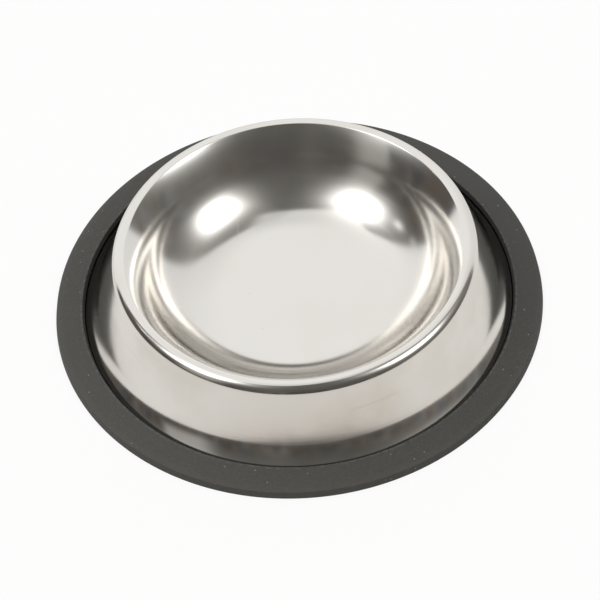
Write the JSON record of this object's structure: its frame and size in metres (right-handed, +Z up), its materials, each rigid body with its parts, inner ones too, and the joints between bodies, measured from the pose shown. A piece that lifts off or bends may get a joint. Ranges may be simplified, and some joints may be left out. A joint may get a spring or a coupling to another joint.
{
  "type": "dog bowl",
  "caption": "Shallow round steel feeding bowl with a rolled rim and a flared skirt, its foot flange held in the slit of a wide anti-slip rubber base ring.",
  "frame": {"origin": "on the table, on the axis of the bowl", "axes": "+Z up along the axis of the bowl, -Y towards the camera of the picture"},
  "size_m": [0.2399, 0.24, 0.0395],
  "materials": {
    "steel": "bright polished, with fine turning lines",
    "rubber": "matte"
  },
  "bodies": {
    "ring": {"rubber_ring": "rubber"},
    "bowl": {"steel_bowl": "steel"}
  },
  "joints": [
    {"name": "bowl_lift", "type": "slide", "parent": "ring", "child": "bowl", "axis": [0, 0, 1], "range_m": [0, 0.03], "deforming": ["rubber_ring"]}
  ]
}
